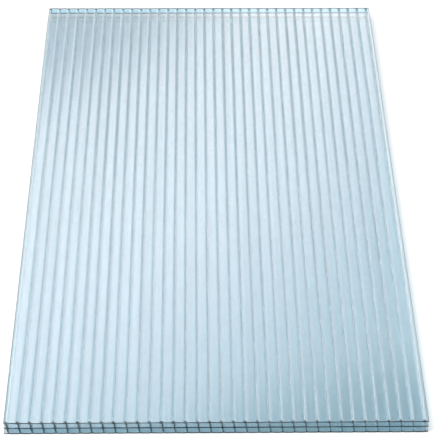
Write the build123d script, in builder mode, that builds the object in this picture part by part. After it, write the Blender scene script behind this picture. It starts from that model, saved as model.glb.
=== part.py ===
from build123d import *
import os

# Clear triple-wall polycarbonate sheet: one extrusion with three skins and two
# layers of flutes, lying flat. The flutes run along Y and the sheet is wide along X.
# The origin is at the middle of the face that it lies on.

# Driving dimensions, in millimetres
sheet_length = 1250.0      # along the flutes, between the two cut ends
sheet_width = 700.0        # across the flutes, between the two trimmed sides
sheet_thickness = 25.0     # over the crowns of both outer skins
rib_pitch = 19.7           # from one rib to the next
skin_wall = 0.8            # top and bottom skins
middle_wall = 0.5          # the skin between the two layers of flutes
rib_wall = 0.6             # every rib
top_crown = 1.2            # how far the top skin swells above its ribs
bottom_crown = 1.6         # how far the bottom skin swells below its ribs
shoulder = 5.5             # how far from a rib a skin levels off
rib_lean = 2.6             # how far a rib's foot stands to the right of its head
rib_step = 1.9             # how far a lower rib's head is left of the upper rib's foot
node_fillet = 1.0          # where a rib runs into an outer skin
weld_bead = 0.5            # flat bead where a rib is welded to the middle skin

# Levels of the skins at the ribs
top_node = sheet_thickness - top_crown
bottom_node = bottom_crown
middle_level = (top_node + bottom_node) / 2
upper_floor = middle_level + middle_wall / 2
lower_roof = middle_level - middle_wall / 2

# Places across the sheet, with each cell's own X measured from the head of its left rib
whole_cells = int(sheet_width / rib_pitch)
extruded_cells = whole_cells + 2
lower_head = rib_lean - rib_step
lower_foot = lower_head + rib_lean
first_head = -extruded_cells * rib_pitch / 2 - lower_foot / 2

# A flute of the upper layer: roof level in the middle and curving down to the ribs,
# flat floor, leaning sides
with BuildSketch() as upper_flute:
    with BuildLine():
        left_head = (rib_wall / 2, top_node - skin_wall)
        right_head = (rib_pitch - rib_wall / 2, top_node - skin_wall)
        right_foot = (right_head[0] + rib_lean, upper_floor)
        left_foot = (left_head[0] + rib_lean, upper_floor)
        left_level = (shoulder, sheet_thickness - skin_wall)
        right_level = (rib_pitch - shoulder, sheet_thickness - skin_wall)
        TangentArc(left_level, left_head, tangent=(-1, 0))
        Line(left_level, right_level)
        TangentArc(right_level, right_head, tangent=(1, 0))
        Polyline(right_head, right_foot, left_foot, left_head)
    make_face()
    fillet(upper_flute.vertices().group_by(Axis.Y)[1], node_fillet)
    chamfer(upper_flute.vertices().group_by(Axis.Y)[0], weld_bead)

# A flute of the lower layer: flat roof, floor level in the middle and curving up to the ribs
with BuildSketch() as lower_flute:
    with BuildLine():
        left_head = (lower_head + rib_wall / 2, lower_roof)
        right_head = (left_head[0] + rib_pitch - rib_wall, lower_roof)
        right_foot = (right_head[0] + rib_lean, bottom_node + skin_wall)
        left_foot = (left_head[0] + rib_lean, bottom_node + skin_wall)
        left_level = (lower_foot + shoulder, skin_wall)
        right_level = (lower_foot + rib_pitch - shoulder, skin_wall)
        Polyline(left_foot, left_head, right_head, right_foot)
        TangentArc(right_level, right_foot, tangent=(1, 0))
        Line(right_level, left_level)
        TangentArc(left_level, left_foot, tangent=(-1, 0))
    make_face()
    fillet(lower_flute.vertices().group_by(Axis.Y)[1], node_fillet)
    chamfer(lower_flute.vertices().group_by(Axis.Y)[-1], weld_bead)

# The section as it leaves the die, a cell wider on each side than the sheet, is
# trimmed to the sheet's width, which leaves open stubs along both sides, and the
# sheet is sawn off square at both ends
with BuildPart() as multiwall_sheet:
    with BuildSketch(Plane.XZ.offset(-sheet_length / 2)):
        with BuildLine():
            last_head = first_head + extruded_cells * rib_pitch
            for start, node, level in (
                (first_head, top_node, sheet_thickness),
                (first_head + lower_foot, bottom_node, 0),
            ):
                for cell in range(extruded_cells):
                    left = start + cell * rib_pitch
                    right = left + rib_pitch
                    TangentArc((left + shoulder, level), (left, node), tangent=(-1, 0))
                    Line((left + shoulder, level), (right - shoulder, level))
                    TangentArc((right - shoulder, level), (right, node), tangent=(1, 0))
            Line((first_head, top_node), (first_head + lower_foot, bottom_node))
            Line((last_head, top_node), (last_head + lower_foot, bottom_node))
        make_face()
        with Locations([(first_head + cell * rib_pitch, 0) for cell in range(extruded_cells)]):
            add(upper_flute.sketch, mode=Mode.SUBTRACT)
            add(lower_flute.sketch, mode=Mode.SUBTRACT)
        with Locations((0, sheet_thickness / 2)):
            Rectangle(sheet_width, sheet_thickness, mode=Mode.INTERSECT)
    extrude(amount=sheet_length)

multiwall_sheet.part.label = "multiwall_sheet"

os.makedirs("parts", exist_ok=True)
export_step(multiwall_sheet.part, "parts/multiwall_sheet.step")
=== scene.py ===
"""Clear triple-wall polycarbonate sheet lying on a white studio floor."""

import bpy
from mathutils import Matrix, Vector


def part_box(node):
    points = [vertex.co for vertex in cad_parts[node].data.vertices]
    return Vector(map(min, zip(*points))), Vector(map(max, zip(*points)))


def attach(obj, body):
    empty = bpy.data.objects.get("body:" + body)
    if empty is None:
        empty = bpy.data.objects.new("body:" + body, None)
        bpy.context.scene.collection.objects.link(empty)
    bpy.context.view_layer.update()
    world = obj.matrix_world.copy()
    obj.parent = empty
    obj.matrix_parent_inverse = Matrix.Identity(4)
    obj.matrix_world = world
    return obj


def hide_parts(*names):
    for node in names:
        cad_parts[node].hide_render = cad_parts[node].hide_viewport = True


bl_info = {
    "name": "Multiwall Sheet",
    "version": (1, 0, 0),
    "blender": (4, 5, 0),
    "location": "3D View > Sidebar > Multiwall Sheet",
    "description": "Builds a clear triple-wall glazing sheet, its studio floor and its camera",
    "category": "Object",
}

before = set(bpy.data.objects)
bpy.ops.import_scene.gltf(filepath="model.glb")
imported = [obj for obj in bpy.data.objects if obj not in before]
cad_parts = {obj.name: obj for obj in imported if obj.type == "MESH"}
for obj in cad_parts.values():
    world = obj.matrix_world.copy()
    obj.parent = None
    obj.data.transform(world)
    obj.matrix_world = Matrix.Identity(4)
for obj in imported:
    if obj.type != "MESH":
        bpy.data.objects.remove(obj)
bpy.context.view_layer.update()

import math
import random

import bmesh
import bpy
from bpy.props import FloatProperty, FloatVectorProperty, IntProperty, PointerProperty
from mathutils import Matrix, Vector, noise
from mathutils.geometry import delaunay_2d_cdt

SHEET_NODE = "multiwall_sheet"
SHEET_LOW, SHEET_HIGH = (Vector(corner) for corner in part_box(SHEET_NODE))
SHEET_WIDTH = SHEET_HIGH.x - SHEET_LOW.x
SHEET_LENGTH = SHEET_HIGH.y - SHEET_LOW.y
SHEET_THICKNESS = SHEET_HIGH.z - SHEET_LOW.z

# The photograph's frame, which the camera's focal length is given in, and how far it sees
PHOTO_LONG_SIDE_PX = 441
SENSOR_MM = 36.0
CAMERA_REACH = 100.0

# The smallest and largest share of its full swell that a cell's skin may have
TOP_SWELLS = (0.72, 1.0)
BOTTOM_SWELLS = (0.8, 1.0)

# How far across and along the sheet the die's unevenness runs before it changes, in metres,
# and which layer of the noise each takes
STRAY_RUN, STRAY_LAYER = (0.05, 0.3), 3.0
SAG_RUN, SAG_LAYER = (0.03, 0.25), 11.0

# How close points lie that are one point to the mesh tools, and how bent a sharp edge is
FILL_TOLERANCE = 1e-8
TRIM_TOLERANCE = 1e-7
SHARP_EDGE = math.radians(15)

# Drawn lines: their stretch across, along and up, and their detail, threshold and softness
MELT_STREAKS = ((140.0, 1.6, 60.0), 3.0, 0.52, 0.16)
DIE_LINES = ((900.0, 2.2, 500.0), 2.0, 0.5, 0.25)
SAW_FROST = ((60.0, 60.0, 420.0), 4.0, 0.55, 0.12)
SAW_MARKS = ((350.0, 350.0, 2600.0), 2.0, 0.5, 0.2)
FLOOR_SCUFFS = ((1.5, 1.1, 1.0), 3.0, 0.5, 0.3)

# How far a roughness goes down and up from its middle value
SMOOTHEST, ROUGHEST = 0.7, 1.3

# The share of its reach over which the painted shade at the far end sets in
END_ONSET = 0.25


def length(name, description, default):
    """A length property, in metres."""
    return FloatProperty(name=name, description=description, default=default, min=0.0,
                         precision=5, unit="LENGTH")


def angle(name, description, degrees):
    """An angle property, given in degrees."""
    return FloatProperty(name=name, description=description, default=math.radians(degrees),
                         unit="ROTATION")


def colour(name, description, default):
    """A colour property."""
    return FloatVectorProperty(name=name, description=description, default=default, size=3,
                               min=0.0, max=1.0, subtype="COLOR")


def strength(name, description, default):
    """A property for how strong a light is."""
    return FloatProperty(name=name, description=description, default=default, min=0.0)


def share(name, description, default):
    """A share property, from nothing to all."""
    return FloatProperty(name=name, description=description, default=default, min=0.0, max=1.0,
                         subtype="FACTOR")


class SectionSettings(bpy.types.PropertyGroup):
    """The sheet's section, as it leaves the die."""
    rib_pitch: length("Rib pitch", "From one rib to the next", 0.0197)
    skin_wall: length("Skin wall", "Thickness of the top and bottom skins", 0.0008)
    middle_wall: length("Middle wall", "Thickness of the middle skin", 0.0005)
    rib_wall: length("Rib wall", "Thickness of every rib", 0.0006)
    top_crown: length("Top crown", "How far the top skin swells above its ribs", 0.0012)
    bottom_crown: length("Bottom crown", "How far the bottom skin swells below its ribs", 0.0016)
    shoulder: length("Shoulder", "How far from a rib a skin levels off", 0.0055)
    swell: FloatProperty(name="Swell", description="How soon a skin levels off towards its shoulder",
                         default=4.0, min=1.0)
    rib_lean: length("Rib lean", "How far a rib's foot stands to the right of its head", 0.0026)
    rib_step: length("Rib step", "How far a lower rib's head is left of the upper foot", 0.0019)
    node_fillet: length("Node fillet", "Rounding where a rib runs into an outer skin", 0.001)
    weld_bead: length("Weld bead", "Rounding where a rib meets the middle skin", 0.0005)
    valley: length("Valley", "Rounding of the groove over each rib", 0.0004)
    wander: length("Wander", "How far ribs stray from their true place", 0.00012)
    slack: length("Slack", "How far a skin's level part may sag inwards", 0.00006)
    spans: IntProperty(name="Spans", description="Spans between the two ends", default=16, min=1)
    # Painted shade: the near and far edges and the side edge give how far from a cut the walls get
    # the dark cut plastic.
    near_skin_edge: length("Near skin edge", "Depth of the near saw cut on the skins", 0.0014)
    near_middle_edge: length("Near middle edge", "The same on the middle skin", 0.002)
    near_rib_edge: length("Near rib edge", "The same on the ribs", 0.005)
    far_skin_edge: length("Far skin edge", "Depth of the far saw cut on the skins", 0.002)
    far_middle_edge: length("Far middle edge", "The same on the middle skin", 0.004)
    far_rib_edge: length("Far rib edge", "The same on the ribs", 0.005)
    side_edge: length("Side edge", "How far the trimming marked the skins", 0.0007)


class FinishSettings(bpy.types.PropertyGroup):
    """The plastic's colours and gloss."""
    top_tint: colour("Top tint", "What the top skin lets through", (0.80, 0.93, 0.98))
    # Painted shade: the top end tint darkens the top skin towards the far end, by its place along
    # the sheet.
    top_far_shade: colour("Top end tint", "The same by its far end", (0.45, 0.69, 0.80))
    top_clearness: share("Top clearness", "How much of the top skin is clear, not milky", 0.9)
    top_roughness: share("Top roughness", "Roughness of the top skin", 0.04)
    inner_tint: colour("Inner tint", "What the skins below let through", (0.75, 0.87, 0.92))
    # Painted shade: the inner end tint darkens the skins below towards the far end, by their place
    # along the sheet.
    inner_far_shade: colour("Inner end tint", "The same by the far end", (0.34, 0.50, 0.55))
    inner_roughness: share("Inner roughness", "Roughness of the skins below", 0.2)
    rib_tint: colour("Rib tint", "What a rib lets through", (0.70, 0.86, 0.93))
    streak_depth: share("Streak depth", "How much denser the melt streaks are", 0.04)
    # The reach of that painted shade at the far end.
    far_shade_reach: length("End reach", "How far from the far end the plastic looks denser", 0.025)
    lamp_tint: colour("Lamp tint", "What one face lets through of the lamps", (0.755, 0.839, 0.868))
    refraction: FloatProperty(name="Refraction", description="Index of refraction",
                              default=1.585, min=1.0)
    inner_gloss: FloatProperty(name="Inner gloss", description="Refraction of the inner gloss",
                               default=2.2, min=1.0)
    die_line_strength: share("Die line strength", "How strongly die lines show", 0.04)
    die_line_depth: length("Die line depth", "Depth of the die lines", 0.00002)
    saw_mark_strength: share("Saw mark strength", "How strongly saw marks show", 0.5)
    # Painted shade: sawn dark, near black, stands in for the unlit inside of clear plastic seen
    # through a cut; sawn light is the saw's frost over that painted shade.
    sawn_shade: colour("Sawn dark", "Cut plastic in its dark grain", (0.006, 0.018, 0.024))
    sawn_frost_and_shade: colour("Sawn light", "Cut plastic where the saw frosted it", (0.06, 0.10, 0.115))
    sawn_roughness: share("Sawn roughness", "Roughness of the cut plastic", 0.45)
    sawn_gloss: share("Sawn gloss", "How strongly the cut plastic shines", 0.2)


class StudioSettings(bpy.types.PropertyGroup):
    """Floor and light."""
    floor_colour: colour("Floor", "Colour of the studio floor", (0.93, 0.93, 0.93))
    floor_wear: share("Floor wear", "How much darker its scuffs are", 0.015)
    floor_roughness: share("Floor roughness", "Roughness of the studio floor", 0.9)
    floor_gloss: share("Floor gloss", "How strongly the studio floor shines", 0.1)
    floor_reach: length("Floor reach", "Half the side of the studio floor", 12.0)
    floor_gap: length("Floor gap", "From the floor to the sheet's lowest face", 0.0002)
    sky_colour: colour("Sky colour", "Colour of the white surround", (1.0, 1.0, 1.0))
    sky: strength("Sky", "Strength of the white surround", 1.3)
    window_colour: colour("Window colour", "Colour of the bright window", (1.0, 0.83, 0.80))
    window: strength("Window", "Strength of the bright window behind the sheet", 2.82)
    window_aside: angle("Window aside", "Right of straight ahead", -19.4)
    window_up: angle("Window up", "Height of the window's middle", 21.2)
    window_inner: angle("Window inner", "Radius of its bright middle", 24.0)
    window_outer: angle("Window outer", "Radius where it ends", 31.8)
    right_flag_aside: angle("Right flag aside", "Right of straight ahead", 33.0)
    right_flag_up: angle("Right flag up", "Height of the right flag's middle", 70.0)
    right_flag_inner: angle("Right flag inner", "Radius of its dark middle", 26.9)
    right_flag_outer: angle("Right flag outer", "Radius where it ends", 29.7)
    right_flag_dark: share("Right flag dark", "How much light it holds back", 1.0)
    left_flag_aside: angle("Left flag aside", "Right of straight ahead", -11.0)
    left_flag_up: angle("Left flag up", "Height of the left flag's middle", 17.4)
    left_flag_inner: angle("Left flag inner", "Radius of its dark middle", 17.0)
    left_flag_outer: angle("Left flag outer", "Radius where it ends", 19.9)
    left_flag_dark: share("Left flag dark", "How much light it holds back", 0.75)
    side_flag_aside: angle("Side flag aside", "Right of straight ahead", -34.0)
    side_flag_up: angle("Side flag up", "Height of the side flag's middle", 44.0)
    side_flag_inner: angle("Side flag inner", "Radius of its dark middle", 10.0)
    side_flag_outer: angle("Side flag outer", "Radius where it ends", 18.0)
    side_flag_dark: share("Side flag dark", "How much light it holds back", 0.45)
    lamp_place: FloatVectorProperty(name="Lamp place", description="The softbox's place",
                                    default=(-1.0, -1.0, 2.4), size=3, unit="LENGTH")
    lamp_size: length("Lamp size", "Side of the square softbox", 1.2)
    lamp_power: strength("Lamp power", "Power of the softbox, in watts", 40.0)
    bounces: IntProperty(name="Bounces", description="Faces that light may pass", default=32,
                         min=1)


class CameraSettings(bpy.types.PropertyGroup):
    """Where the photograph was taken from."""
    focal_px: FloatProperty(name="Focal length", description="Focal length in photo pixels",
                            default=1750.33, min=1.0)
    place: FloatVectorProperty(name="Place", description="The camera's place",
                               default=(-0.03912, -2.62601, 2.11545), size=3, unit="LENGTH")
    down: angle("Down", "How far the camera looks down", 39.659)
    aside: angle("Aside", "How far the camera looks to the right", 1.063)
    roll: angle("Roll", "How far the camera is turned about its axis", 0.490)


def settings(context, name):
    """One group of settings, kept on the scene."""
    return getattr(context.scene, name)


def rounded_corner(before, corner, after, radius, steps):
    """Points of the arc that rounds a corner between two straight runs."""
    corner = Vector(corner)
    back = (Vector(before) - corner).normalized()
    onward = (Vector(after) - corner).normalized()
    half = math.acos(max(-1.0, min(1.0, back.dot(onward)))) / 2
    reach = radius / math.tan(half)
    centre = corner + (back + onward).normalized() * (radius / math.sin(half))
    start = corner + back * reach - centre
    end = corner + onward * reach - centre
    turn = math.acos(max(-1.0, min(1.0, start.dot(end) / radius ** 2)))
    points = []
    for step in range(steps + 1):
        along = step / steps
        weights = math.sin((1 - along) * turn), math.sin(along * turn)
        points.append(centre + (start * weights[0] + end * weights[1]) / math.sin(turn))
    return points


class SheetSection:
    """The outline of the cut end and of every flute, as points across and up.

    The arc and groove steps are the shares of the shoulder at which a skin has points.
    """

    corner_steps = 4
    bead_steps = 2
    arc_steps = (0.0, 0.2, 0.4, 0.6, 0.8, 1.0)
    groove_steps = (0.0, 0.06, 0.14, 0.26, 0.44, 0.68, 1.0)

    def __init__(self, section, seed=7):
        self.s = section
        draw = random.Random(seed)
        self.cells = int(SHEET_WIDTH / section.rib_pitch) + 2
        lower_head = section.rib_lean - section.rib_step
        lower_foot = lower_head + section.rib_lean
        first = -self.cells * section.rib_pitch / 2 - lower_foot / 2

        def ribs(offset):
            return [first + offset + rib * section.rib_pitch + draw.uniform(-1, 1) * section.wander
                    for rib in range(self.cells + 1)]

        self.upper_heads = ribs(0.0)
        self.upper_feet = ribs(section.rib_lean)
        self.lower_heads = ribs(lower_head)
        self.lower_feet = ribs(lower_foot)
        self.top_crowns = [section.top_crown * draw.uniform(*TOP_SWELLS)
                           for _ in range(self.cells)]
        self.bottom_crowns = [section.bottom_crown * draw.uniform(*BOTTOM_SWELLS)
                              for _ in range(self.cells)]
        self.top_node = SHEET_THICKNESS - section.top_crown
        self.bottom_node = section.bottom_crown
        self.middle = (self.top_node + self.bottom_node) / 2
        self.floor_level = self.middle + section.middle_wall / 2
        self.roof_level = self.middle - section.middle_wall / 2

    def rise(self, away, crown):
        """How far a skin has swelled at a distance from its rib."""
        short = 1 - min(away, self.s.shoulder) / self.s.shoulder
        return crown * (1 - short ** self.s.swell)

    def skin(self, left, right, crown, valley=0.0):
        """Points across one cell's skin, from near its left rib to near its right one."""
        near = [self.s.shoulder * part for part in (self.groove_steps if valley else self.arc_steps)]
        span = right - left
        places = near + [span / 2] + [span - away for away in reversed(near)]
        points = []
        for place in places:
            away = math.hypot(min(place, span - place), valley)
            points.append((left + place, self.rise(away, crown)))
        return points

    def outer_skin(self, top):
        """The outside of the top or bottom skin, from the left side to the right one."""
        ribs = self.upper_heads if top else self.lower_feet
        crowns = self.top_crowns if top else self.bottom_crowns
        points = []
        for cell in range(self.cells):
            across = self.skin(ribs[cell], ribs[cell + 1], crowns[cell], self.s.valley)
            points += across if cell == 0 else across[1:]
        level = self.top_node if top else self.bottom_node
        sign = 1 if top else -1
        return [(x, level + sign * rise) for x, rise in points]

    def upper_flute(self, cell):
        """A flute of the upper layer, from its right foot up over the roof and down again."""
        s = self.s
        half = s.rib_wall / 2
        left, right = self.upper_heads[cell] + half, self.upper_heads[cell + 1] - half
        left_foot, right_foot = self.upper_feet[cell] + half, self.upper_feet[cell + 1] - half
        level = self.top_node - s.skin_wall
        roof = [(x, level + rise) for x, rise in
                reversed(self.skin(left, right, self.top_crowns[cell]))]
        return self.flute((right_foot, self.floor_level), roof, (left_foot, self.floor_level))

    def lower_flute(self, cell):
        """A flute of the lower layer, from its left head down over the floor and up again."""
        s = self.s
        half = s.rib_wall / 2
        left, right = self.lower_feet[cell] + half, self.lower_feet[cell + 1] - half
        left_head, right_head = self.lower_heads[cell] + half, self.lower_heads[cell + 1] - half
        level = self.bottom_node + s.skin_wall
        floor = [(x, level - rise) for x, rise in
                 self.skin(left, right, self.bottom_crowns[cell])]
        return self.flute((left_head, self.roof_level), floor, (right_head, self.roof_level))

    def flute(self, first, crowned, last):
        """One flute's points: two corners on the middle skin and a crowned skin between."""
        s = self.s
        points = rounded_corner(last, first, crowned[0], s.weld_bead, self.bead_steps)
        points += rounded_corner(first, crowned[0], crowned[2], s.node_fillet, self.corner_steps)
        points += [Vector(point) for point in crowned[2:-2]]
        points += rounded_corner(crowned[-3], crowned[-1], last, s.node_fillet, self.corner_steps)
        points += rounded_corner(crowned[-1], last, first, s.weld_bead, self.bead_steps)
        return points

    def outlines(self):
        """The outside and then every flute, as closed rows of points, counter-clockwise."""
        top, bottom = self.outer_skin(top=True), self.outer_skin(top=False)
        trimmed_off = self.s.rib_pitch / 2
        outside = [(bottom[0][0] - trimmed_off, bottom[0][1]), *bottom,
                   (bottom[-1][0] + trimmed_off, bottom[-1][1]),
                   (top[-1][0] + trimmed_off, top[-1][1]), *reversed(top),
                   (top[0][0] - trimmed_off, top[0][1])]
        rows = [[Vector(point) for point in outside]]
        for cell in range(self.cells):
            rows.append(self.upper_flute(cell))
            rows.append(self.lower_flute(cell))
        return rows


def drifted(section, x, y, z):
    """A point of the section at one place along the sheet, with the die's small unevenness.

    Outward goes from -1 on the bottom skin to 1 on the top skin, and each skin sags inwards
    in its own way.
    """
    half = SHEET_THICKNESS / 2
    outward = (z - half) / half
    stray = noise.noise(Vector((x / STRAY_RUN[0], y / STRAY_RUN[1], STRAY_LAYER)))
    swing = noise.noise(Vector((x / SAG_RUN[0], y / SAG_RUN[1], SAG_LAYER + round(outward))))
    sag = max(0.5 + 0.5 * swing, 0.0)
    return (x + section.wander * stray, y, z - section.slack * sag * outward ** 3)


# Material slots of the sheet
TOP_SKIN, INNER_SKIN, RIB, SAWN_AND_SHADE = range(4)

# How much a face looks across the sheet: more than this on a rib, and on a crown by a rib
STEEP, SLANTING = 0.7, 0.3


def face_slot(section, face):
    """The slot of a face that isn't a cut: near the ends and sides it gets the cut plastic, as
    painted shade.
    """
    middle = face.calc_center_median()
    into_fillet = section.skin_wall + section.node_fillet / 2
    top_skin_foot = SHEET_THICKNESS - section.top_crown - into_fillet
    bottom_skin_head = section.bottom_crown + into_fillet
    end = "near_" if middle.y < 0 else "far_"
    if abs(face.normal.x) > STEEP:
        part, slot = "rib_edge", RIB
    elif bottom_skin_head < middle.z < top_skin_foot:
        part, slot = "middle_edge", INNER_SKIN
    else:
        slot = TOP_SKIN if middle.z > top_skin_foot else INNER_SKIN
        at_rib = slot == TOP_SKIN and abs(face.normal.x) > SLANTING
        part = "rib_edge" if at_rib else "skin_edge"
    # Painted shade: faces this close to a cut or a side get the dark cut plastic.
    cut_shade_strip = SHEET_LENGTH / 2 - abs(middle.y) < getattr(section, end + part)
    side_shade_strip = slot != RIB and SHEET_WIDTH / 2 - abs(middle.x) < section.side_edge
    return SAWN_AND_SHADE if cut_shade_strip or side_shade_strip else slot


def cut_triangles(rows):
    """Triangles over a cut, inside the outline and outside every flute, as places in the rows."""
    points = [point for row in rows for point in row]
    loops, first = [], 0
    for row in rows:
        loops.append(list(range(first, first + len(row))))
        first += len(row)
    filled = delaunay_2d_cdt(points, [], loops, 1, FILL_TOLERANCE)
    triangles, points_of, loops_around = filled[2], filled[3], filled[5]
    return [[points_of[corner][0] for corner in triangle]
            for triangle, around in zip(triangles, loops_around) if list(around) == [0]]


def extruded_sheet(section):
    """The sheet as a closed mesh: walls, sawn ends and trimmed sides."""
    rows = SheetSection(section).outlines()
    grid = bmesh.new()
    near = (0.0, section.near_skin_edge, section.near_middle_edge, section.near_rib_edge)
    far = (section.far_rib_edge, section.far_middle_edge, section.far_skin_edge, 0.0)
    run = SHEET_LENGTH - near[-1] - far[0]
    stations = [*(SHEET_LOW.y + depth for depth in near),
                *(SHEET_LOW.y + near[-1] + run * step / section.spans
                  for step in range(1, section.spans)),
                *(SHEET_HIGH.y - depth for depth in far)]
    ends = []
    previous = None
    for y in stations:
        current = [[grid.verts.new(drifted(section, p.x, y, p.y)) for p in row] for row in rows]
        if previous:
            for old_row, new_row in zip(previous, current):
                for place in range(len(new_row)):
                    grid.faces.new((old_row[place - 1], old_row[place],
                                    new_row[place], new_row[place - 1]))
        if y in (stations[0], stations[-1]):
            ends.append(current)
        previous = current
    for end in ends:
        corners = [corner for row in end for corner in row]
        for triangle in cut_triangles(rows):
            # The cut faces get the cut plastic, whose near-black body is painted shade.
            grid.faces.new([corners[place] for place in triangle]).material_index = SAWN_AND_SHADE
    for side in (-1, 1):
        for reach, trim in ((SHEET_WIDTH / 2 - section.side_edge, False), (SHEET_WIDTH / 2, True)):
            everything = grid.verts[:] + grid.edges[:] + grid.faces[:]
            cut = bmesh.ops.bisect_plane(grid, geom=everything, plane_co=(side * reach, 0, 0),
                                         plane_no=(side, 0, 0), dist=TRIM_TOLERANCE,
                                         clear_outer=trim)
        rims = [edge for edge in cut["geom_cut"] if isinstance(edge, bmesh.types.BMEdge)]
        # The trimmed sides get the same cut plastic, with its painted shade.
        for face in bmesh.ops.holes_fill(grid, edges=rims)["faces"]:
            face.material_index = SAWN_AND_SHADE
    bmesh.ops.recalc_face_normals(grid, faces=grid.faces)
    bmesh.ops.triangulate(grid, faces=[face for face in grid.faces if len(face.verts) > 4])
    for face in grid.faces:
        face.smooth = face.material_index != SAWN_AND_SHADE
        if face.smooth:
            face.material_index = face_slot(section, face)
    mesh = bpy.data.meshes.new("clear_sheet")
    grid.to_mesh(mesh)
    grid.free()
    mesh.set_sharp_from_angle(angle=SHARP_EDGE)
    return mesh


def node(tree, kind, place, **values):
    """A node of one kind, with its plain properties set."""
    made = tree.nodes.new(kind)
    made.location = place
    for name, value in values.items():
        setattr(made, name, value)
    return made


def rgba(colour_value, alpha=1.0):
    """A colour with its alpha, as a colour socket takes it."""
    return (*colour_value, alpha)


def drawn_lines_group():
    """Fine lines drawn out one way, for die lines, melt streaks and saw marks."""
    tree = bpy.data.node_groups.new("drawn_lines", "ShaderNodeTree")
    shared = tree.interface
    stretch = shared.new_socket("Stretch", in_out="INPUT", socket_type="NodeSocketVector")
    stretch.default_value = (1.0, 1.0, 1.0)
    for name, value in (("Detail", 2.0), ("Threshold", 0.5), ("Softness", 0.2)):
        shared.new_socket(name, in_out="INPUT", socket_type="NodeSocketFloat").default_value = value
    shared.new_socket("Mask", in_out="OUTPUT", socket_type="NodeSocketFloat")
    shared.new_socket("Height", in_out="OUTPUT", socket_type="NodeSocketFloat")
    given = node(tree, "NodeGroupInput", (-800, 0))
    place = node(tree, "ShaderNodeTexCoord", (-800, 200))
    stretched = node(tree, "ShaderNodeVectorMath", (-600, 100), operation="MULTIPLY")
    lines = node(tree, "ShaderNodeTexNoise", (-400, 100))
    lines.inputs["Scale"].default_value = 1.0
    low = node(tree, "ShaderNodeMath", (-400, -150), operation="SUBTRACT")
    high = node(tree, "ShaderNodeMath", (-400, -300), operation="ADD")
    mask = node(tree, "ShaderNodeMapRange", (-150, 0), interpolation_type="SMOOTHSTEP")
    result = node(tree, "NodeGroupOutput", (100, 0))
    link = tree.links.new
    link(place.outputs["Object"], stretched.inputs[0])
    link(given.outputs["Stretch"], stretched.inputs[1])
    link(stretched.outputs["Vector"], lines.inputs["Vector"])
    link(given.outputs["Detail"], lines.inputs["Detail"])
    for edge in (low, high):
        link(given.outputs["Threshold"], edge.inputs[0])
        link(given.outputs["Softness"], edge.inputs[1])
    link(lines.outputs["Fac"], mask.inputs["Value"])
    link(low.outputs[0], mask.inputs["From Min"])
    link(high.outputs[0], mask.inputs["From Max"])
    link(mask.outputs["Result"], result.inputs["Mask"])
    link(lines.outputs["Fac"], result.inputs["Height"])
    return tree


def drawn_lines(tree, place, stretch, detail, threshold, softness):
    """The drawn lines group placed in a material, with its own stretch and contrast."""
    group = bpy.data.node_groups.get("drawn_lines") or drawn_lines_group()
    made = node(tree, "ShaderNodeGroup", place, node_tree=group)
    made.inputs["Stretch"].default_value = stretch
    made.inputs["Detail"].default_value = detail
    made.inputs["Threshold"].default_value = threshold
    made.inputs["Softness"].default_value = softness
    return made


def new_material(name):
    """An empty node material and its output."""
    material = bpy.data.materials.new(name)
    material.use_nodes = True
    material.node_tree.nodes.clear()
    return material, material.node_tree, node(material.node_tree, "ShaderNodeOutputMaterial",
                                              (700, 0))


def mixed(tree, place, factor, first, second):
    """A colour between two plain ones, by a mask."""
    made = node(tree, "ShaderNodeMix", place, data_type="RGBA")
    tree.links.new(factor, made.inputs["Factor"])
    made.inputs["A"].default_value = rgba(first)
    made.inputs["B"].default_value = rgba(second)
    return made.outputs["Result"]


def far_end_group():
    """A mask that rises from nothing to all between two places along the sheet."""
    tree = bpy.data.node_groups.new("far_end", "ShaderNodeTree")
    for name in ("Start", "Full"):
        tree.interface.new_socket(name, in_out="INPUT", socket_type="NodeSocketFloat")
    tree.interface.new_socket("Mask", in_out="OUTPUT", socket_type="NodeSocketFloat")
    given = node(tree, "NodeGroupInput", (-400, -150))
    place = node(tree, "ShaderNodeTexCoord", (-400, 100))
    along = node(tree, "ShaderNodeSeparateXYZ", (-200, 100))
    rise = node(tree, "ShaderNodeMapRange", (0, 0), interpolation_type="SMOOTHSTEP")
    result = node(tree, "NodeGroupOutput", (200, 0))
    link = tree.links.new
    link(place.outputs["Object"], along.inputs[0])
    link(along.outputs["Y"], rise.inputs["Value"])
    link(given.outputs["Start"], rise.inputs["From Min"])
    link(given.outputs["Full"], rise.inputs["From Max"])
    link(rise.outputs["Result"], result.inputs["Mask"])
    return tree


def far_end(tree, place, reach):
    """The far end group placed in a material, with its own reach."""
    group = bpy.data.node_groups.get("far_end") or far_end_group()
    made = node(tree, "ShaderNodeGroup", place, node_tree=group)
    made.inputs["Start"].default_value = SHEET_HIGH.y - reach
    made.inputs["Full"].default_value = SHEET_HIGH.y - reach * (1 - END_ONSET)
    return made


def varied_roughness(tree, place, mask, roughness):
    """A roughness that a mask takes from a little below its value to a little above it."""
    made = node(tree, "ShaderNodeMapRange", place)
    made.inputs["To Min"].default_value = roughness * SMOOTHEST
    made.inputs["To Max"].default_value = roughness * ROUGHEST
    tree.links.new(mask, made.inputs["Value"])
    return made.outputs["Result"]


def relief(tree, place, height, depth_strength, depth):
    """A normal that follows a height."""
    made = node(tree, "ShaderNodeBump", place)
    made.inputs["Strength"].default_value = depth_strength
    made.inputs["Distance"].default_value = depth
    tree.links.new(height, made.inputs["Height"])
    return made.outputs["Normal"]


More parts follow.
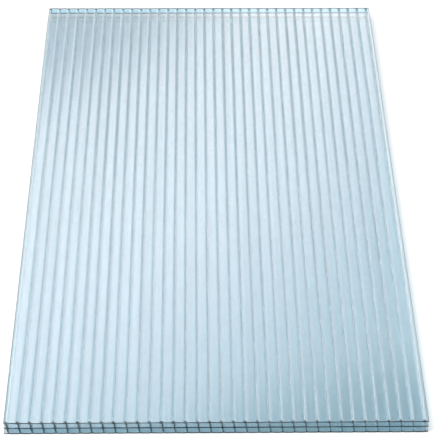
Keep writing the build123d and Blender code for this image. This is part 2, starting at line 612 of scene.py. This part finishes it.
def clear_plastic(finish, name, tint, roughness, far_shade_tint=None, clearness=1.0, gloss=None):
    """Clear extruded plastic: tint, melt streaks, die lines; lamps shine through it. A far shade
    tint, when given, darkens the plastic towards the far end as painted shade.
    """
    material, tree, output = new_material(name)
    link = tree.links.new
    streaks = drawn_lines(tree, (-900, 200), *MELT_STREAKS)
    die_lines = drawn_lines(tree, (-900, -250), *DIE_LINES)
    plastic = node(tree, "ShaderNodeBsdfPrincipled", (0, 100))
    plastic.inputs["Transmission Weight"].default_value = clearness
    plastic.inputs["IOR"].default_value = finish.refraction
    if gloss:
        plastic.inputs["Coat Weight"].default_value = 1.0
        plastic.inputs["Coat IOR"].default_value = gloss
        plastic.inputs["Coat Roughness"].default_value = roughness
    lamps = node(tree, "ShaderNodeLightPath", (0, 450))
    through = node(tree, "ShaderNodeMath", (200, 400), operation="MAXIMUM")
    film = node(tree, "ShaderNodeBsdfTransparent", (200, -250))
    film.inputs["Color"].default_value = rgba(finish.lamp_tint)
    surface = node(tree, "ShaderNodeMixShader", (450, 0))
    denser = [share_value * (1.0 - finish.streak_depth) for share_value in tint]
    body = mixed(tree, (-550, 250), streaks.outputs["Mask"], tint, denser)
    # Painted shade: towards the far end the tint turns to the far shade tint, by place along the
    # sheet.
    if far_shade_tint:
        ends = node(tree, "ShaderNodeMix", (-250, 300), data_type="RGBA")
        link(far_end(tree, (-550, 500), finish.far_shade_reach).outputs["Mask"], ends.inputs["Factor"])
        link(body, ends.inputs["A"])
        ends.inputs["B"].default_value = rgba(far_shade_tint)
        body = ends.outputs["Result"]
    link(body, plastic.inputs["Base Color"])
    link(varied_roughness(tree, (-350, 0), die_lines.outputs["Mask"], roughness),
         plastic.inputs["Roughness"])
    link(relief(tree, (-350, -250), die_lines.outputs["Height"], finish.die_line_strength,
                finish.die_line_depth), plastic.inputs["Normal"])
    link(lamps.outputs["Is Shadow Ray"], through.inputs[0])
    link(lamps.outputs["Is Diffuse Ray"], through.inputs[1])
    link(through.outputs[0], surface.inputs[0])
    link(plastic.outputs["BSDF"], surface.inputs[1])
    link(film.outputs["BSDF"], surface.inputs[2])
    link(surface.outputs["Shader"], output.inputs["Surface"])
    return material


def sawn_and_shade_plastic(finish):
    """Plastic where the saw went through it, with frosted saw marks; its near-black body is painted
    shade, for unlit clear plastic seen through a cut.
    """
    material, tree, output = new_material("sawn_edge_and_painted_shade")
    link = tree.links.new
    frost = drawn_lines(tree, (-700, 200), *SAW_FROST)
    marks = drawn_lines(tree, (-700, -150), *SAW_MARKS)
    plastic = node(tree, "ShaderNodeBsdfPrincipled", (0, 100))
    plastic.inputs["Specular IOR Level"].default_value = finish.sawn_gloss
    link(mixed(tree, (-350, 250), frost.outputs["Mask"], finish.sawn_shade, finish.sawn_frost_and_shade),
         plastic.inputs["Base Color"])
    link(varied_roughness(tree, (-350, 0), marks.outputs["Mask"], finish.sawn_roughness),
         plastic.inputs["Roughness"])
    link(relief(tree, (-350, -200), marks.outputs["Height"], finish.saw_mark_strength,
                finish.die_line_depth), plastic.inputs["Normal"])
    link(plastic.outputs["BSDF"], output.inputs["Surface"])
    return material


def studio_floor(studio):
    """White matt floor, with a very slight unevenness of tone."""
    material, tree, output = new_material("white_studio_floor")
    link = tree.links.new
    scuffs = drawn_lines(tree, (-600, 0), *FLOOR_SCUFFS)
    paint = node(tree, "ShaderNodeBsdfPrincipled", (0, 0))
    paint.inputs["Roughness"].default_value = studio.floor_roughness
    paint.inputs["Specular IOR Level"].default_value = studio.floor_gloss
    worn = [share_value * (1.0 - studio.floor_wear) for share_value in studio.floor_colour]
    link(mixed(tree, (-300, 0), scuffs.outputs["Mask"], studio.floor_colour, worn),
         paint.inputs["Base Color"])
    link(paint.outputs["BSDF"], output.inputs["Surface"])
    return material


def sky_direction(azimuth, elevation):
    """The direction towards a place in the surround, counted from straight ahead."""
    return Vector((math.sin(azimuth) * math.cos(elevation),
                   math.cos(azimuth) * math.cos(elevation), math.sin(elevation)))


def soft_disc(tree, place, view, studio, name, within):
    """A soft round patch of the surround: nothing outside it, and this much inside."""
    towards = node(tree, "ShaderNodeVectorMath", place, operation="DOT_PRODUCT")
    towards.inputs[1].default_value = sky_direction(getattr(studio, name + "_aside"),
                                                    getattr(studio, name + "_up"))
    edge = node(tree, "ShaderNodeMapRange", (place[0] + 200, place[1]),
                interpolation_type="SMOOTHSTEP")
    edge.inputs["From Min"].default_value = math.cos(getattr(studio, name + "_outer"))
    edge.inputs["From Max"].default_value = math.cos(getattr(studio, name + "_inner"))
    edge.inputs["To Max"].default_value = within
    tree.links.new(view, towards.inputs[0])
    tree.links.new(towards.outputs["Value"], edge.inputs["Value"])
    return edge.outputs["Result"]


def white_surround(studio):
    """A white surround with a bright window and three soft black flags, seen in the gloss."""
    world = bpy.data.worlds.new("white_surround")
    world.use_nodes = True
    tree = world.node_tree
    tree.nodes.clear()
    link = tree.links.new
    view = node(tree, "ShaderNodeTexCoord", (-900, 0)).outputs["Generated"]
    window = soft_disc(tree, (-700, 300), view, studio, "window", 1.0)
    sky = [studio.sky * share_value for share_value in studio.sky_colour]
    bright = [studio.window * share_value for share_value in studio.window_colour]
    shade = mixed(tree, (-250, 300), window, sky, bright)
    for step, name in enumerate(("right_flag", "left_flag", "side_flag")):
        flag = soft_disc(tree, (-700, -250 * step), view, studio, name,
                         getattr(studio, name + "_dark"))
        held = node(tree, "ShaderNodeMix", (-50 + 200 * step, 100), data_type="RGBA")
        link(flag, held.inputs["Factor"])
        link(shade, held.inputs["A"])
        held.inputs["B"].default_value = rgba((0.0, 0.0, 0.0))
        shade = held.outputs["Result"]
    light = node(tree, "ShaderNodeBackground", (650, 0))
    output = node(tree, "ShaderNodeOutputWorld", (850, 0))
    link(shade, light.inputs["Color"])
    link(light.outputs["Background"], output.inputs["Surface"])
    return world


def camera_matrix(view):
    """The camera's frame from its place and its three angles."""
    cos_down = math.cos(view.down)
    ahead = Vector((math.sin(view.aside) * cos_down, math.cos(view.aside) * cos_down,
                    -math.sin(view.down)))
    level = ahead.cross(Vector((0, 0, 1))).normalized()
    upright = level.cross(ahead)
    across = level * math.cos(view.roll) + upright * math.sin(view.roll)
    up = upright * math.cos(view.roll) - level * math.sin(view.roll)
    turn = Matrix((across, up, -ahead)).transposed().to_4x4()
    return Matrix.Translation(view.place) @ turn


def placed(context, name, data):
    """A new object in the scene."""
    made = bpy.data.objects.new(name, data)
    context.scene.collection.objects.link(made)
    return made


class SHEET_OT_camera(bpy.types.Operator):
    """Set the camera where the photograph was taken from"""
    bl_idname = "multiwall.camera"
    bl_label = "Photo Camera"

    def execute(self, context):
        view = settings(context, "sheet_camera")
        lens = bpy.data.cameras.new("photo_camera")
        lens.sensor_width = SENSOR_MM
        lens.lens = view.focal_px / PHOTO_LONG_SIDE_PX * SENSOR_MM
        lens.clip_end = CAMERA_REACH
        camera = placed(context, "photo_camera", lens)
        camera.matrix_world = camera_matrix(view)
        context.scene.camera = camera
        return {"FINISHED"}


class SHEET_OT_sheet(bpy.types.Operator):
    """Extrude the clear sheet and give it its finish"""
    bl_idname = "multiwall.sheet"
    bl_label = "Clear Sheet"

    def execute(self, context):
        finish = settings(context, "sheet_finish")
        sheet = placed(context, "clear_sheet", extruded_sheet(settings(context, "sheet_section")))
        for material in (
            # The top and inner skins get painted shade towards their far end.
            clear_plastic(finish, "top_skin_plastic", finish.top_tint, finish.top_roughness,
                          finish.top_far_shade, finish.top_clearness),
            clear_plastic(finish, "inner_skin_plastic", finish.inner_tint,
                          finish.inner_roughness, finish.inner_far_shade,
                          gloss=finish.inner_gloss),
            clear_plastic(finish, "rib_plastic", finish.rib_tint, finish.inner_roughness),
            sawn_and_shade_plastic(finish),
        ):
            sheet.data.materials.append(material)
        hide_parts(SHEET_NODE)
        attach(sheet, "root")
        return {"FINISHED"}


class SHEET_OT_studio(bpy.types.Operator):
    """Lay the white floor and hang the white surround"""
    bl_idname = "multiwall.studio"
    bl_label = "White Studio"

    def execute(self, context):
        studio = settings(context, "sheet_studio")
        ground = bmesh.new()
        bmesh.ops.create_grid(ground, x_segments=8, y_segments=8, size=studio.floor_reach)
        mesh = bpy.data.meshes.new("studio_floor")
        ground.to_mesh(mesh)
        ground.free()
        mesh.materials.append(studio_floor(studio))
        floor = placed(context, "studio_floor", mesh)
        floor.location.z = SHEET_LOW.z - studio.floor_gap
        softbox = bpy.data.lights.new("left_softbox", "AREA")
        softbox.size = studio.lamp_size
        softbox.energy = studio.lamp_power
        lamp = placed(context, "left_softbox", softbox)
        lamp.location = studio.lamp_place
        lamp.rotation_euler = (-lamp.location).to_track_quat("-Z", "Y").to_euler()
        context.scene.world = white_surround(studio)
        context.scene.view_settings.view_transform = "Standard"
        path = context.scene.cycles
        path.max_bounces = path.transmission_bounces = path.glossy_bounces = studio.bounces
        path.transparent_max_bounces = 2 * studio.bounces
        return {"FINISHED"}


class SHEET_PT_panel(bpy.types.Panel):
    """The sheet's sizes, finish, camera and studio"""
    bl_label = "Multiwall Sheet"
    bl_idname = "SHEET_PT_panel"
    bl_space_type = "VIEW_3D"
    bl_region_type = "UI"
    bl_category = "Multiwall Sheet"

    def draw(self, context):
        for name, operator in PARTS:
            box = self.layout.box()
            box.operator(operator.bl_idname)
            group = getattr(context.scene, name)
            for key in group.__annotations__:
                box.prop(group, key)


PARTS = (
    ("sheet_camera", SHEET_OT_camera),
    ("sheet_section", SHEET_OT_sheet),
    ("sheet_finish", SHEET_OT_sheet),
    ("sheet_studio", SHEET_OT_studio),
)
GROUPS = {
    "sheet_section": SectionSettings,
    "sheet_finish": FinishSettings,
    "sheet_studio": StudioSettings,
    "sheet_camera": CameraSettings,
}
CLASSES = (*GROUPS.values(), SHEET_OT_camera, SHEET_OT_sheet, SHEET_OT_studio, SHEET_PT_panel)


def register():
    for each in CLASSES:
        bpy.utils.register_class(each)
    for name, group in GROUPS.items():
        setattr(bpy.types.Scene, name, PointerProperty(type=group))


def unregister():
    for name in GROUPS:
        delattr(bpy.types.Scene, name)
    for each in reversed(CLASSES):
        bpy.utils.unregister_class(each)


def main():
    """Make the scene."""
    register()
    bpy.ops.multiwall.camera()
    bpy.ops.multiwall.sheet()
    bpy.ops.multiwall.studio()


if __name__ == "__main__":
    main()
